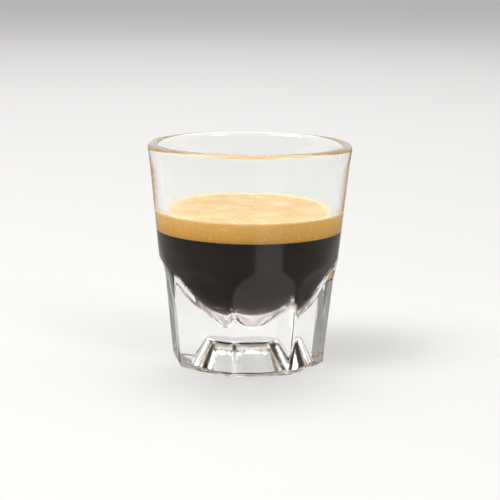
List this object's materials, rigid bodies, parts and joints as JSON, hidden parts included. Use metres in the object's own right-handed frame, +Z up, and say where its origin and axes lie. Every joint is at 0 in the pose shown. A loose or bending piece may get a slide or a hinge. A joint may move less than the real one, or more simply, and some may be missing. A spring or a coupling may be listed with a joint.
{
  "type": "double espresso",
  "caption": "Double espresso in a small tapered glass with flat facets round its lower half, a rounded rim, dark coffee in its bowl and a layer of golden crema on top.",
  "frame": {"origin": "centre of the glass's foot, on the plane it stands on", "axes": "+Z up along the glass's axis, -Y towards the picture's camera, +X to its right"},
  "size_m": [0.073, 0.073, 0.0795],
  "materials": {
    "clear_glass": "clear and smooth",
    "coffee": "near black liquid, glossy",
    "crema": "fine golden froth, matt"
  },
  "bodies": {
    "root": {"glass": "clear_glass", "coffee": "coffee", "crema": "crema"}
  },
  "joints": []
}
